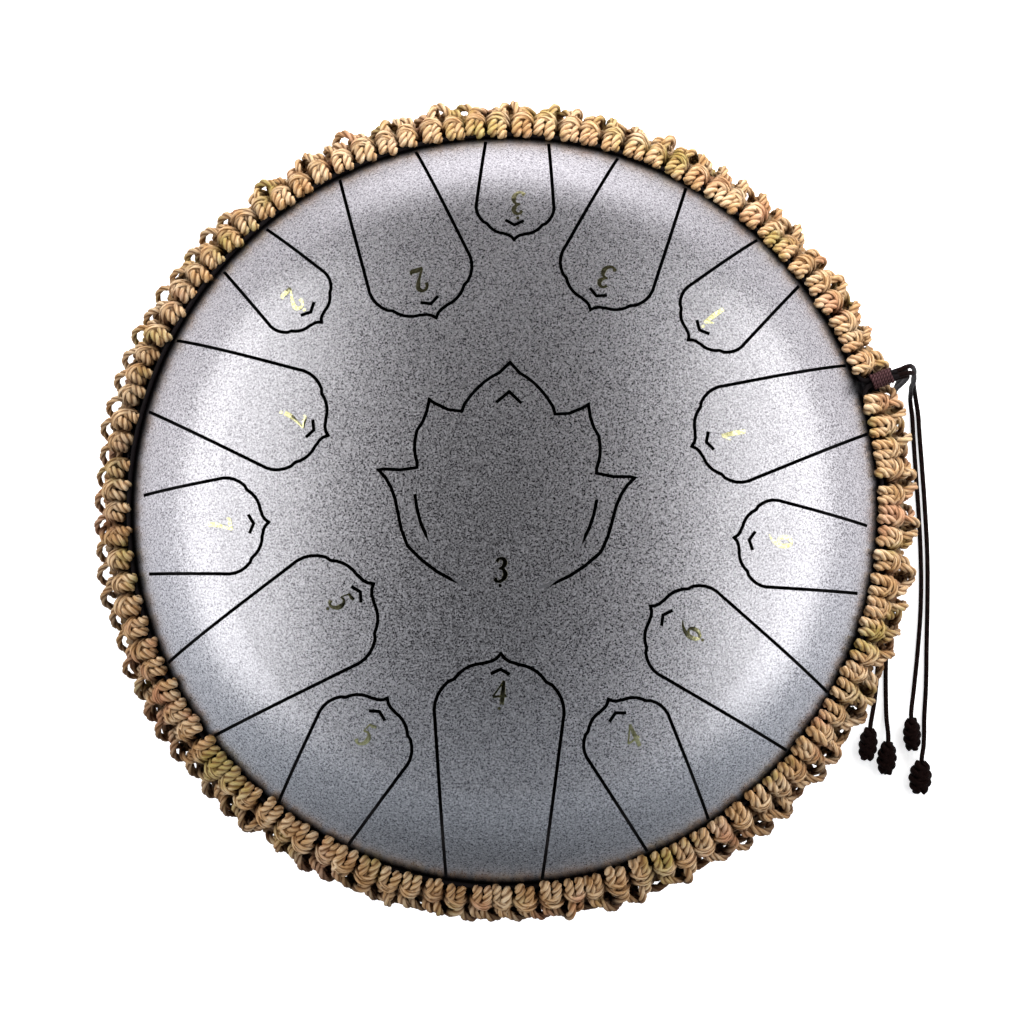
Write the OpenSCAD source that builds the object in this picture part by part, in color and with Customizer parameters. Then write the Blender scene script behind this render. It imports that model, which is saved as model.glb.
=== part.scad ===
// Steel tongue drum: two pressed steel shells joined at a rim flange, fifteen cut tongues,
// rubber feet, a knotted jute band round the rim, and two drawstrings with sliding knots.
// The drum stands on its feet on z = 0. The lowest tongue points along -Y.

/* [Steel shells] */
// Outer diameter of the joined rim flange
steel_d = 356; // [340:1:372]
// Thickness of the pressed sheet
wall_t = 1.6; // [1.2:0.1:2]
// Flat width of the rim flange
flange_w = 4.5; // [4:0.5:6]
// Outside radius of the corner between the wall and the flange
root_r = 3; // [2:0.5:4]
// Height of the dome above the flange
dome_h = 70; // [66:1:76]
// Radius of the dome's shoulder
shoulder_r = 72; // [64:1:74]
// Steepness of the dome where it meets the flange corner, in degrees
dome_edge_angle = 72; // [68:1:76]
// Depth of the bottom shell from its flange to its flat base
bowl_h = 92; // [84:1:96]
// Steepness of the bowl where it meets the flange corner, in degrees
bowl_edge_angle = 82; // [80:1:84]
// Diameter of the sound hole in the base
sound_hole_d = 76; // [60:1:80]
// Thickness of the sealing ring between the flanges
seal_t = 0.8; // [0.5:0.1:1.5]
// Distance of the sealing ring from the flange's outer edge
seal_inset = 0.5; // [0.3:0.1:1]

/* [Tongues] */
// Width of every cut
slot_w = 1.5; // [1:0.1:1.8]
// Distance from the drum's axis to the root of each tongue
slot_root_r = 165.5; // [160:0.5:166]
// Length of the longest tongue
tongue_l = 100; // [90:1:104]
// Width of the longest tongue at its root
tongue_w = 43; // [36:0.5:46]
// How much each side of a tongue opens towards its tip, in degrees
tongue_flare = 5.2; // [4:0.1:6.5]
// Width of the small mark cut near each tip
mark_w = 8.4; // [6:0.2:9]
// Height of the small mark
mark_h = 2.2; // [1.5:0.1:3]
// Distance of the small mark from the tip
mark_gap = 6.8; // [6:0.2:9]

/* [Lotus] */
// Width over the outer petals of the centre tongue
lotus_w = 112; // [100:1:114]
// Height of the centre tongue from its open root to its tip
lotus_h = 98; // [90:1:100]
// Width of the mark under the lotus tip
lotus_mark_w = 11.2; // [9:0.2:13]
// Height of the mark under the lotus tip
lotus_mark_h = 5; // [4:0.2:6]
// Distance of that mark from the lotus tip
lotus_mark_gap = 13; // [11:0.5:15]

/* [Feet] */
// Diameter of a rubber foot
foot_d = 22; // [18:0.5:24]
// Height of a foot below the base
foot_h = 8; // [6:0.5:12]
// Rounding of a foot's lower edge
foot_edge_r = 1.5; // [1:0.25:2.5]
// Distance of each foot from the drum's axis
foot_place_r = 53; // [52:0.5:54]
// Diameter of the recess under each foot
foot_recess_d = 7; // [5:0.5:8]
// Depth of the recess under each foot
foot_recess_h = 2.5; // [1:0.5:4]
// Diameter of the stud that pushes through the base
stud_d = 6; // [5:0.5:7]
// Diameter of the barb that holds the stud
barb_d = 8.4; // [7.5:0.1:9]
// Length of the barb
barb_h = 3.4; // [2.5:0.1:4.5]

/* [Jute band] */
// Number of knots round the band
knot_count = 104; // [90:1:110]
// Radial width of a row of knots
row_w = 8; // [7:0.25:8.5]
// Height of a row of knots
row_h = 8.4; // [7.5:0.1:9]
// Radial width of the outer loops
loop_w = 7; // [6.5:0.25:8]
// Height of the outer loops
loop_h = 13; // [11:0.5:14]
// Opening between the ends of the band
seam_gap = 10; // [9.5:0.5:14]
// Direction of the opening from +X, in degrees
seam_turn = 21; // [15:1:30]

/* [Drawstrings] */
// Diameter of the waxed cord
cord_d = 2.2; // [1.8:0.1:2.4]
// Height of each drawstring above or below the middle of the rim
drawstring_rise = 10; // [9:0.5:11]
// Inside radius of the turn into the sliding knot
cord_turn_r = 3.3; // [3:0.1:4]
// Distance of a sliding knot's inner end from the steel rim's edge
slider_inset = 3.6; // [2.5:0.1:4]
// Length of a sliding knot
slider_l = 11; // [9:0.5:12]
// Outer diameter of a sliding knot
slider_d = 7.6; // [7:0.1:8.2]
// How far a sliding knot can be drawn out along its strands
slider_travel = 2; // [1:0.1:2.5]
// Number of turns in a sliding knot
slider_turns = 8; // [6:1:9]
// Diameter of an end knot
end_knot_d = 9.4; // [8:0.1:9.8]
// Length of an end knot
end_knot_l = 15; // [12:0.5:15]

/* [Hidden] */
$fn = 96;

// Clearances
seat_gap = 0.2;
running_gap = 0.15;
strand_gap = 0.2;
stud_gap = 0.1;
overrun = 1;

// Levels from the floor up
base_z = foot_h;
bowl_flange_z = base_z + bowl_h;
rim_z = bowl_flange_z + wall_t + seal_t / 2;
dome_flange_z = rim_z + seal_t / 2;
flange_top_z = dome_flange_z + wall_t;

// Dome profile: a flange corner, a shoulder arc and a crown arc, each tangent to the next
flange_in_r = steel_d / 2 - flange_w;
dome_edge_r = flange_in_r - root_r * sin(dome_edge_angle);
shoulder_x = dome_edge_r - shoulder_r * sin(dome_edge_angle);
shoulder_z = flange_top_z + root_r * (1 - cos(dome_edge_angle)) - shoulder_r * cos(dome_edge_angle);
shoulder_drop = flange_top_z + dome_h - shoulder_z;
crown_r = (pow(shoulder_x, 2) + pow(shoulder_drop, 2) - pow(shoulder_r, 2)) / (2 * (shoulder_drop - shoulder_r));
crown_z = flange_top_z + dome_h - crown_r;
crown_angle = asin(shoulder_x / (crown_r - shoulder_r));

// Bowl profile: a flat base, one deep arc and the flange corner
bowl_r = (bowl_h - root_r * (1 - cos(bowl_edge_angle))) / (1 - cos(bowl_edge_angle));
bowl_x = flange_in_r - (root_r + bowl_r) * sin(bowl_edge_angle);
bowl_z = base_z + bowl_r;

// Jute band
dome_wall_gap = 0.65;
row_r = dome_edge_r + dome_wall_gap + row_w / 2;
row_rise = flange_top_z - rim_z + seat_gap + row_h / 2;
loop_r = steel_d / 2 + seat_gap + loop_w / 2;
// Place along one knot, then its thickness there, as shares of the pitch and of the full size
row_knot_shares = [[0, 0.7], [0.28, 1], [0.72, 1]];
loop_knot_shares = [[0, 0.78], [0.5, 1]];
row_sides = 6;

// Drawstrings: each lies on the wall of its shell
cord_r = cord_d / 2;
turn_r = cord_turn_r + cord_r;
strand_y = (cord_d + strand_gap) / 2;
lie_gap = 0.1;
top_string_z = rim_z + drawstring_rise;
bottom_string_z = rim_z - drawstring_rise;
top_string_r = shoulder_x + sqrt(pow(shoulder_r + cord_r + lie_gap, 2) - pow(top_string_z - shoulder_z, 2));
bottom_string_r = bowl_x + sqrt(pow(bowl_r + cord_r + lie_gap, 2) - pow(bowl_z - bottom_string_z, 2));
strand_rest = 0.1;
slider_start_r = steel_d / 2 - slider_inset;
// Where two lengths of a drawstring meet, a bead joins them across a hair's breadth
bead_gap = 0.1;
bead_r = cord_r + bead_gap / 2;
strand_end_r = slider_start_r + slider_l + slider_travel + strand_rest;
slider_pitch = slider_l / slider_turns;

// Tongues: bearing from the lowest tongue, then shares of the greatest length, root width and root distance
tongue_shares = [
    [0, 1, 1, 1],
    [29.6, 0.69, 0.72, 1], [56.6, 0.88, 0.74, 1], [83.6, 0.6, 0.71, 0.975], [109.1, 0.8, 0.75, 1],
    [133.9, 0.57, 0.65, 1], [158.3, 0.72, 0.78, 1], [180, 0.48, 0.66, 1],
    [-157.8, 0.78, 0.85, 1], [-133, 0.51, 0.63, 1], [-109.4, 0.82, 0.8, 1], [-84, 0.57, 0.82, 0.975],
    [-57, 0.98, 0.9, 1], [-29.6, 0.66, 0.85, 1]
];

// Tip of a tongue in shares of its half width: across, then back from the tip
function bow(a, b, rise, n) = [for (i = [0:n])
    let (t = i / n, d = b - a)
    a + d * t + [d[1], -d[0]] * rise * 4 * t * (1 - t)];
tip_shoulder_shares = bow([1, 1.05], [0.81, 0.46], -0.14, 5);
tip_petal_shares = bow([0.72, 0.42], [0.27, 0.16], -0.12, 5);
tip_point_shares = bow([0.24, 0.147], [0, 0], 0.12, 3);
tip_shares = concat(tip_shoulder_shares, tip_petal_shares, tip_point_shares);

// Right half of the lotus in shares of its half width and of its height, from its root to its tip
lotus_shares = concat(
    bow([0.28, -0.37], [0.75, -0.205], 0.05, 4),
    bow([0.775, -0.175], [0.83, -0.075], 0.05, 2),
    bow([0.838, -0.055], [1, 0.133], -0.11, 4),
    bow([0.96, 0.138], [0.7, 0.148], -0.03, 2),
    bow([0.7, 0.17], [0.715, 0.3], 0.13, 4),
    bow([0.71, 0.315], [0.622, 0.455], -0.1, 3),
    bow([0.58, 0.439], [0.364, 0.406], -0.05, 2),
    bow([0.345, 0.44], [0.08, 0.585], 0.06, 5),
    [[0, 0.633]]);
inner_petal_shares = bow([0.71, 0.03], [0.56, -0.195], -0.1, 4);

// Cord routes in the frame of the band's opening: out along x, sideways along y, up from the floor
top_route_a = [
    [192, -1.5, 111], [194, -2, 108], [195, -2.5, 103], [197, -3, 85], [199, -4, 60],
    [200, -5, 35], [201, -7, 15], [200.5, -11, 5], [199.5, -17, 2], [197, -26, 1.2],
    [192, -44, 1.2], [187, -62, 1.2], [181, -82, 1.2], [174, -102, 1.2], [165.5, -122, 1.2],
    [157, -140, 1.8], [151.4, -151, 4.8], [150.8, -153, 4.8]
];
top_route_b = [
    [192, 1.4, 111], [194, 1.4, 108], [195.2, 1.2, 103], [198, 0.6, 85], [200.5, -0.5, 60],
    [202, -2, 35], [203.4, -5, 15], [203.4, -10.5, 5], [202.4, -17.5, 2], [199.9, -26.8, 1.2],
    [195, -45, 1.2], [190, -63, 1.2], [184, -83, 1.2], [177, -103, 1.2], [169.5, -123, 1.2],
    [162.8, -141, 1.2], [157, -155, 1.2], [154.4, -162, 1.6], [152.2, -167, 3.2], [149.4, -172, 4.8],
    [148.6, -173.8, 4.8]
];
bottom_route_a = [
    [192, -1.5, 91], [193.6, -1.8, 88], [194.2, -2, 83], [194.5, -2.5, 65], [194, -3, 45],
    [193, -4, 25], [191.5, -7, 10], [189.5, -12, 3.5], [187, -19, 1.2], [181, -34, 1.2],
    [174, -52, 1.2], [167, -70, 1.2], [160, -88, 1.2], [152.5, -106, 1.2], [144.5, -124, 1.2],
    [137.5, -139, 1.8], [131.6, -149.2, 4.8], [130.7, -151, 4.8]
];
bottom_route_b = [
    [192, 1.4, 91], [193.8, 1.4, 88], [194.6, 1.2, 83], [195.5, 0.6, 65], [195.5, 0, 45],
    [195, -1.5, 25], [194, -5, 10], [192.2, -11.5, 3.5], [189.7, -19.5, 1.2], [184, -35, 1.2],
    [177, -53, 1.2], [170, -71, 1.2], [163, -89, 1.2], [155.5, -107, 1.2], [148.2, -125, 1.2],
    [142.6, -141, 1.2], [140, -149, 2], [137.4, -158.2, 4.8], [136.6, -160, 4.8]
];

// Start of a tail: its strand's end, then one cord diameter straight on
function full_route(side, level, places) =
    concat([[strand_end_r, side * strand_y, level], [strand_end_r + cord_d, side * strand_y, level]], places);

function unit(v) = v / norm(v);

// The space under the dome's outer face, or under its inner face when sunk by the wall, down to low
module dome_region(sunk, low) {
    crown_edge = (crown_r - sunk) * sin(crown_angle);
    wall_edge = shoulder_x + (shoulder_r - sunk) * sin(dome_edge_angle);
    wall_low = shoulder_z + (shoulder_r - sunk) * cos(dome_edge_angle);
    intersection() {
        translate([0, crown_z]) circle(crown_r - sunk);
        translate([0, low]) square([crown_edge, 2 * dome_h]);
    }
    intersection() {
        translate([shoulder_x, shoulder_z]) circle(shoulder_r - sunk);
        translate([0, low]) square([wall_edge, 2 * dome_h]);
    }
    difference() {
        translate([0, low]) square([flange_in_r, wall_low - low]);
        translate([flange_in_r, flange_top_z + root_r]) circle(root_r + sunk);
    }
}

module dome_profile() {
    difference() {
        union() {
            dome_region(0, dome_flange_z);
            translate([flange_in_r, dome_flange_z]) square([flange_w, wall_t]);
        }
        dome_region(wall_t, dome_flange_z - overrun);
    }
}

// The bowl is drawn upside down, up from its flange's outer face, and then turned over
module bowl_region(sunk, low) {
    wall_edge = bowl_x + (bowl_r - sunk) * sin(bowl_edge_angle);
    wall_low = bowl_h - bowl_r + (bowl_r - sunk) * cos(bowl_edge_angle);
    translate([0, low]) square([bowl_x, bowl_h - sunk - low]);
    intersection() {
        translate([bowl_x, bowl_h - bowl_r]) circle(bowl_r - sunk);
        translate([0, low]) square([wall_edge, 2 * bowl_h]);
    }
    difference() {
        translate([0, low]) square([flange_in_r, wall_low - low]);
        translate([flange_in_r, root_r]) circle(root_r + sunk);
    }
}

module bowl_profile() {
    translate([0, bowl_flange_z]) mirror([0, 1]) difference() {
        union() {
            bowl_region(0, -wall_t);
            translate([flange_in_r, -wall_t]) square([flange_w, wall_t]);
        }
        bowl_region(wall_t, -wall_t - overrun);
        square([sound_hole_d / 2, bowl_h + overrun]);
    }
}

// A cut of even width along a path, mitred at its corners
function side_of(a, b) = let (d = unit(b - a)) [-d[1], d[0]];
function mitre(path, i) =
    let (last = len(path) - 1,
        n0 = side_of(path[max(i - 1, 0)], path[max(i, 1)]),
        n1 = side_of(path[min(i, last - 1)], path[min(i + 1, last)]),
        m = n0 + n1)
    m * 2 / (m * m);
module cut_line(path) {
    last = len(path) - 1;
    w = slot_w / 2;
    polygon(concat(
        [for (i = [0:last]) path[i] + mitre(path, i) * w],
        [for (i = [0:last]) path[last - i] - mitre(path, last - i) * w]));
}

function mirrored(half) = let (last = len(half) - 1)
    concat(half, [for (i = [1:last]) [-half[last - i][0], half[last - i][1]]]);

module tip_mark(tip_y, w, h, gap) {
    top = tip_y - gap;
    cut_line([[-w / 2, top - h], [0, top], [w / 2, top - h]]);
}

// One rim tongue, drawn with its tip towards +Y and its root at root_r on -Y
module tongue_cut(l, w, root_r) {
    flare = tan(tongue_flare);
    half_w = (w / 2 + flare * l) / (1 + flare);
    tip_y = l - root_r;
    side = concat([[w / 2, -root_r]], [for (p = tip_shares) [p[0] * half_w, tip_y - p[1] * half_w]]);
    cut_line(mirrored(side));
    tip_mark(tip_y, mark_w, mark_h, mark_gap);
}

module lotus_cut() {
    scale_by = [lotus_w / 2, lotus_h];
    side = [for (p = lotus_shares) [p[0] * scale_by[0], p[1] * scale_by[1]]];
    cut_line(mirrored(side));
    for (turn = [-1, 1])
        cut_line([for (p = inner_petal_shares) [turn * p[0] * scale_by[0], p[1] * scale_by[1]]]);
    tip_mark(side[len(side) - 1][1], lotus_mark_w, lotus_mark_h, lotus_mark_gap);
}

module all_cuts() {
    translate([0, 0, flange_top_z + root_r]) linear_extrude(dome_h) {
        lotus_cut();
        for (t = tongue_shares)
            rotate(t[0]) tongue_cut(t[1] * tongue_l, t[2] * tongue_w, t[3] * slot_root_r);
    }
}

module top_shell() {
    color("silver") difference() {
        rotate_extrude($fn = 180) dome_profile();
        all_cuts();
    }
}

module bottom_shell() {
    color("darkgray") difference() {
        rotate_extrude($fn = 180) bowl_profile();
        for (i = [1:4])
            foot_place(i) translate([0, 0, base_z - overrun])
                cylinder(d = stud_d + 2 * stud_gap, h = wall_t + 2 * overrun, $fn = 48);
    }
}

module rim_seal() {
    color("dimgray") translate([0, 0, rim_z - seal_t / 2]) rotate_extrude($fn = 180)
        translate([flange_in_r, 0]) square([flange_w - seal_inset, seal_t]);
}

// Feet stand between the axes and push into holes in the flat base
module foot_place(i) {
    rotate(45 + 90 * (i - 1)) translate([foot_place_r, 0]) children();
}
module foot_profile() {
    r = foot_d / 2;
    stud_top = foot_h + wall_t + stud_gap;
    difference() {
        union() {
            translate([0, foot_edge_r]) square([r, foot_h - foot_edge_r]);
            square([r - foot_edge_r, foot_h]);
            translate([r - foot_edge_r, foot_edge_r]) circle(foot_edge_r);
            square([stud_d / 2, stud_top + stud_gap]);
        }
        square([foot_recess_d / 2, foot_recess_h]);
    }
    polygon([[0, stud_top], [barb_d / 2, stud_top], [stud_d / 2, stud_top + barb_h], [0, stud_top + barb_h]]);
}
module foot(i) {
    color("black") foot_place(i) rotate_extrude($fn = 64) foot_profile();
}

// A ring with one swelling for each knot, open at the seam and closed at both ends
module knot_row(r, z, w, h, knot_shares, tilt) {
    half_gap = asin(seam_gap / 2 / r);
    pitch = (360 - 2 * half_gap) / knot_count;
    per = len(knot_shares);
    rings = knot_count * per + 1;
    step = 360 / row_sides;
    points = [for (i = [0:rings - 1])
        let (s = knot_shares[i % per],
            a = half_gap + (floor(i / per) + s[0]) * pitch)
        for (k = [0:row_sides - 1])
            let (x = r + s[1] * w / 2 * cos(tilt + k * step))
            [x * cos(a), x * sin(a), z + s[1] * h / 2 * sin(tilt + k * step)]];
    rotate(seam_turn) closed_tube(points, rings, row_sides);
}

// Skin over rings of points, with a flat cap at each end
module closed_tube(points, rings, sides) {
    walls = [for (i = [0:rings - 2], k = [0:sides - 1], half = [0, 1])
        let (a = i * sides + k, b = i * sides + (k + 1) % sides)
        half == 0 ? [a, a + sides, b] : [b, a + sides, b + sides]];
    first_cap = [for (k = [1:sides - 2]) [0, k, k + 1]];
    last = (rings - 1) * sides;
    last_cap = [for (k = [1:sides - 2]) [last, last + k + 1, last + k]];
    polyhedron(points, concat(walls, first_cap, last_cap), convexity = 10);
}

module jute_top_row() {
    color("tan") knot_row(row_r, rim_z + row_rise, row_w, row_h, row_knot_shares, 30);
}
module jute_outer_loops() {
    color("burlywood") knot_row(loop_r, rim_z, loop_w, loop_h, loop_knot_shares, 0);
}
module jute_bottom_row() {
    color("tan") knot_row(row_r, rim_z - row_rise, row_w, row_h, loop_knot_shares, 30);
}

// One drawstring: round the wall, then both ends turn out side by side at the seam
module drawstring(ring_r, level) {
    centre_y = strand_y + turn_r;
    centre_x = sqrt(pow(ring_r + turn_r, 2) - pow(centre_y, 2));
    open_angle = asin(centre_y / (ring_r + turn_r));
    ring_trim = bead_gap / ring_r * 180 / PI;
    turn_trim = bead_gap / turn_r * 180 / PI;
    color("saddlebrown") rotate(seam_turn) translate([0, 0, level]) {
        rotate(open_angle + ring_trim) rotate_extrude(angle = 360 - 2 * (open_angle + ring_trim), $fn = 180)
            translate([ring_r, 0]) circle(cord_r, $fn = 24);
        for (side = [0, 1]) mirror([0, side, 0]) {
            rotate(open_angle) translate([ring_r, 0]) sphere(bead_r, $fn = 24);
            translate([centre_x, centre_y, 0]) rotate(180 + open_angle + turn_trim)
                rotate_extrude(angle = 90 - open_angle - 2 * turn_trim, $fn = 48)
                    translate([turn_r, 0]) circle(cord_r, $fn = 24);
            translate([centre_x, strand_y, 0]) sphere(bead_r, $fn = 24);
            translate([centre_x + bead_gap, strand_y, 0]) rotate([0, 90, 0])
                cylinder(r = cord_r, h = strand_end_r - centre_x - bead_gap, $fn = 24);
        }
    }
}

// A sliding knot: turns of cord wound over the two strands, which pass through it
module slider_knot(level) {
    turn_half = slider_pitch / 2;
    core_r = slider_d / 2 - turn_half;
    bore_r = cord_r + running_gap;
    color("maroon") rotate(seam_turn) translate([slider_start_r, 0, level]) rotate([0, 90, 0]) difference() {
        rotate_extrude($fn = 48) intersection() {
            union() {
                square([core_r, slider_l]);
                for (i = [0:slider_turns - 1])
                    translate([core_r, (i + 0.5) * slider_pitch]) circle(turn_half, $fn = 24);
            }
            square([slider_d, slider_l]);
        }
        for (side = [-1, 1])
            translate([0, side * strand_y, -overrun]) cylinder(r = bore_r, h = slider_l + 2 * overrun, $fn = 32);
        translate([-bore_r, -strand_y, -overrun]) cube([2 * bore_r, 2 * strand_y, slider_l + 2 * overrun]);
    }
}

// A cord's free stretch: one ring of points at each place on its route
cord_sides = 8;
function route_dir(route, i) = let (last = len(route) - 1)
    unit(route[min(i + 1, last)] - route[max(i - 1, 0)]);
function square_to(v, d) = unit(v - (v * d) * d);
module tail(route) {
    last = len(route) - 1;
    // Each ring's sideways direction is the one before it, turned square to the cord
    sides_along = [for (i = 0, s = square_to([0, 1, 0], route_dir(route, 0)); i <= last;
        i = i + 1, s = square_to(s, route_dir(route, min(i, last)))) s];
    points = [for (i = [0:last])
        let (d = route_dir(route, i), s = sides_along[i], u = cross(d, s))
        for (k = [0:cord_sides - 1])
            route[i] + cord_r * (s * cos(360 * k / cord_sides) + u * sin(360 * k / cord_sides))];
    color("saddlebrown") rotate(seam_turn) closed_tube(points, last + 1, cord_sides);
}

// An end knot: a lumpy barrel of turns, standing on its flat face at the origin
end_turn_shares = [0.78, 1, 0.94, 0.72];
module end_knot(route) {
    last = len(route) - 1;
    way = unit(route[last] - route[last - 1]);
    pitch = end_knot_l / len(end_turn_shares);
    core_r = end_knot_d / 2 - pitch / 2;
    color("maroon") rotate(seam_turn) translate(route[last]) rotate([0, 90, atan2(way[1], way[0])])
        rotate_extrude($fn = 48) intersection() {
            union() {
                square([core_r * min(end_turn_shares), end_knot_l]);
                for (i = [0:len(end_turn_shares) - 1])
                    translate([core_r * end_turn_shares[i], (i + 0.5) * pitch]) circle(pitch / 2, $fn = 24);
            }
            square([end_knot_d, end_knot_l]);
        }
}

top_a = full_route(-1, top_string_z, top_route_a);
top_b = full_route(1, top_string_z, top_route_b);
bottom_a = full_route(-1, bottom_string_z, bottom_route_a);
bottom_b = full_route(1, bottom_string_z, bottom_route_b);

top_shell();
bottom_shell();
rim_seal();
foot(1);  // foot_1
foot(2);  // foot_2
foot(3);  // foot_3
foot(4);  // foot_4
jute_top_row();
jute_outer_loops();
jute_bottom_row();
drawstring(top_string_r, top_string_z);  // top_drawstring
drawstring(bottom_string_r, bottom_string_z);  // bottom_drawstring
slider_knot(top_string_z);  // top_slider_knot
slider_knot(bottom_string_z);  // bottom_slider_knot
tail(top_a);  // top_tail_a
tail(top_b);  // top_tail_b
tail(bottom_a);  // bottom_tail_a
tail(bottom_b);  // bottom_tail_b
end_knot(top_a);  // top_end_knot_a
end_knot(top_b);  // top_end_knot_b
end_knot(bottom_a);  // bottom_end_knot_a
end_knot(bottom_b);  // bottom_end_knot_b
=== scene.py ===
import math
import random

import bmesh
import bpy
from mathutils import Matrix, Vector, noise
from mathutils.bvhtree import BVHTree


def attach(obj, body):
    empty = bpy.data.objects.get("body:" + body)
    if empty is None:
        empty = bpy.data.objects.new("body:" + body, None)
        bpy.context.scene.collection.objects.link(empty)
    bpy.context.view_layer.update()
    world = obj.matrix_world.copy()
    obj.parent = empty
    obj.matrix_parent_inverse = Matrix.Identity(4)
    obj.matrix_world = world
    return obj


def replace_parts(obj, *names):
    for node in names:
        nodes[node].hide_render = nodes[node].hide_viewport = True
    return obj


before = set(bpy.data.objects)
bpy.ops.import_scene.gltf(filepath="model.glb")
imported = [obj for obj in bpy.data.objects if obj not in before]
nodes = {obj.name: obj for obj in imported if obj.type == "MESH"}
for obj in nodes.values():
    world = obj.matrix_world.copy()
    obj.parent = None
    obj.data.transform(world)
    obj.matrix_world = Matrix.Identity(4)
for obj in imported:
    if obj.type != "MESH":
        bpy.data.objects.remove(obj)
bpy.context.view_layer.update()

mm = 0.001
fullTurn = 2 * math.pi
scene = bpy.context.scene
print("frame:", len(nodes), "nodes")


def addObject(name, data):
    made = bpy.data.objects.new(name, data)
    scene.collection.objects.link(made)
    return made


# The camera looks down from almost straight above, a little toward the player.
camera = {
    "distance": 1.9,  # metres from the middle of the rim
    "aimHeight": 0.102,
    "roll": -1.8,  # degrees about the line of sight
    "tilt": -2.53,  # degrees away from straight down
    "metresPerPixel": 0.000453,
    "drumCentre": (505.65, 510.48),  # pixels, in a square frame of framePixels
    "framePixels": 1024,
    "sensor": 36.0,
    "farthest": 20,
}


def placeCamera(c):
    tilt = Matrix.Rotation(math.radians(c["tilt"]), 3, "X")
    roll = Matrix.Rotation(math.radians(c["roll"]), 3, "Z")
    turn = (tilt @ roll).transposed()
    middle = c["framePixels"] / 2
    data = bpy.data.cameras.new("camera")
    data.sensor_width = c["sensor"]
    data.lens = c["sensor"] * c["distance"] / (c["framePixels"] * c["metresPerPixel"])
    data.shift_x = (middle - c["drumCentre"][0]) / c["framePixels"]
    data.shift_y = (c["drumCentre"][1] - middle) / c["framePixels"]
    data.clip_end = c["farthest"]
    eye = addObject("camera", data)
    back = turn @ Vector((0, 0, 1))
    place = Vector((0, 0, c["aimHeight"])) + back * c["distance"]
    eye.matrix_world = Matrix.Translation(place) @ turn.to_4x4()
    scene.camera = eye


placeCamera(camera)


# Shader maths as plain expressions on sockets.
class Wire:
    def __init__(self, finish, socket):
        self.finish = finish
        self.socket = socket

    def __add__(self, other):
        return self.finish.maths("ADD", self, other)

    __radd__ = __add__

    def __mul__(self, other):
        return self.finish.maths("MULTIPLY", self, other)

    __rmul__ = __mul__

    def __sub__(self, other):
        return self.finish.maths("SUBTRACT", self, other)

    def __rsub__(self, other):
        return self.finish.maths("SUBTRACT", other, self)

    def __pow__(self, other):
        return self.finish.maths("POWER", self, other)

    def __rpow__(self, other):
        return self.finish.maths("POWER", other, self)


class Finish:
    def __init__(self, name):
        self.material = bpy.data.materials.new(name)
        self.material.use_nodes = True
        self.open(self.material.node_tree, "Principled BSDF")

    def open(self, tree, shaderName):
        self.tree = tree
        self.shader = tree.nodes[shaderName]
        self.coordinates = tree.nodes.new("ShaderNodeTexCoord")

    def node(self, kind, settings, sockets, output=0):
        made = self.tree.nodes.new(kind)
        for key, value in settings.items():
            if key == "stops":
                ramp = made.color_ramp.elements
                while len(ramp) < len(value):
                    ramp.new(1)
                for element, (place, tone) in zip(ramp, value):
                    element.position = place
                    element.color = (*tone, 1)
            else:
                setattr(made, key, value)
        for key, value in sockets.items():
            self.feed(made, key, value)
        return Wire(self, made.outputs[output])

    def feed(self, made, key, value):
        socket = made.inputs[key] if not isinstance(key, str) else next(
            s for s in made.inputs if key in (s.identifier, s.name))
        if isinstance(value, Wire):
            self.tree.links.new(value.socket, socket)
        elif socket.type == "RGBA":
            socket.default_value = (*value, 1)
        else:
            socket.default_value = value

    def set(self, **values):
        for key, value in values.items():
            self.feed(self.shader, key.replace("_", " "), value)

    def place(self, kind="Object"):
        return Wire(self, self.coordinates.outputs[kind])

    def maths(self, operation, *values):
        return self.node("ShaderNodeMath", {"operation": operation}, dict(enumerate(values)))

    def vector(self, operation, *values, output=0):
        return self.node("ShaderNodeVectorMath", {"operation": operation}, dict(enumerate(values)), output)

    def fromAxis(self, where):  # how far a place is from the drum's upright axis
        return self.vector("LENGTH", self.vector("MULTIPLY", where, (1, 1, 0)), output=1)

    def split(self, vector, axis):
        return self.node("ShaderNodeSeparateXYZ", {}, {0: vector}, axis)

    def stretched(self, vector, scale):
        return self.node("ShaderNodeMapping", {}, {"Vector": vector, "Scale": scale})

    def noise(self, vector, scale, detail=2.0, roughness=0.5, distortion=0.0):
        return self.node("ShaderNodeTexNoise", {}, {"Vector": vector, "Scale": scale, "Detail": detail,
                                                    "Roughness": roughness, "Distortion": distortion})

    def level(self, factor, low, high, toLow=0.0, toHigh=1.0):
        return self.node("ShaderNodeMapRange", {}, {"Value": factor, "From Min": low, "From Max": high,
                                                    "To Min": toLow, "To Max": toHigh})

    def ramp(self, factor, stops):
        return self.node("ShaderNodeValToRGB", {"stops": stops}, {0: factor})

    def mix(self, factor, first, second):
        return self.node("ShaderNodeMix", {"data_type": "RGBA"},
                         {"Factor_Float": factor, "A_Color": first, "B_Color": second}, 2)

    def bump(self, height, strength, distance):
        return self.node("ShaderNodeBump", {}, {"Height": height, "Strength": strength, "Distance": distance})


def colour(*card):  # from the 0 to 255 scale of a paint card
    return tuple(((c / 255 + 0.055) / 1.055) ** 2.4 if c > 10 else c / 255 / 12.92 for c in card)


def toned(tone, share):
    return tuple(c * share for c in tone)


noiseRange = (0.3, 0.7)  # most of a noise lies between these

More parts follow.
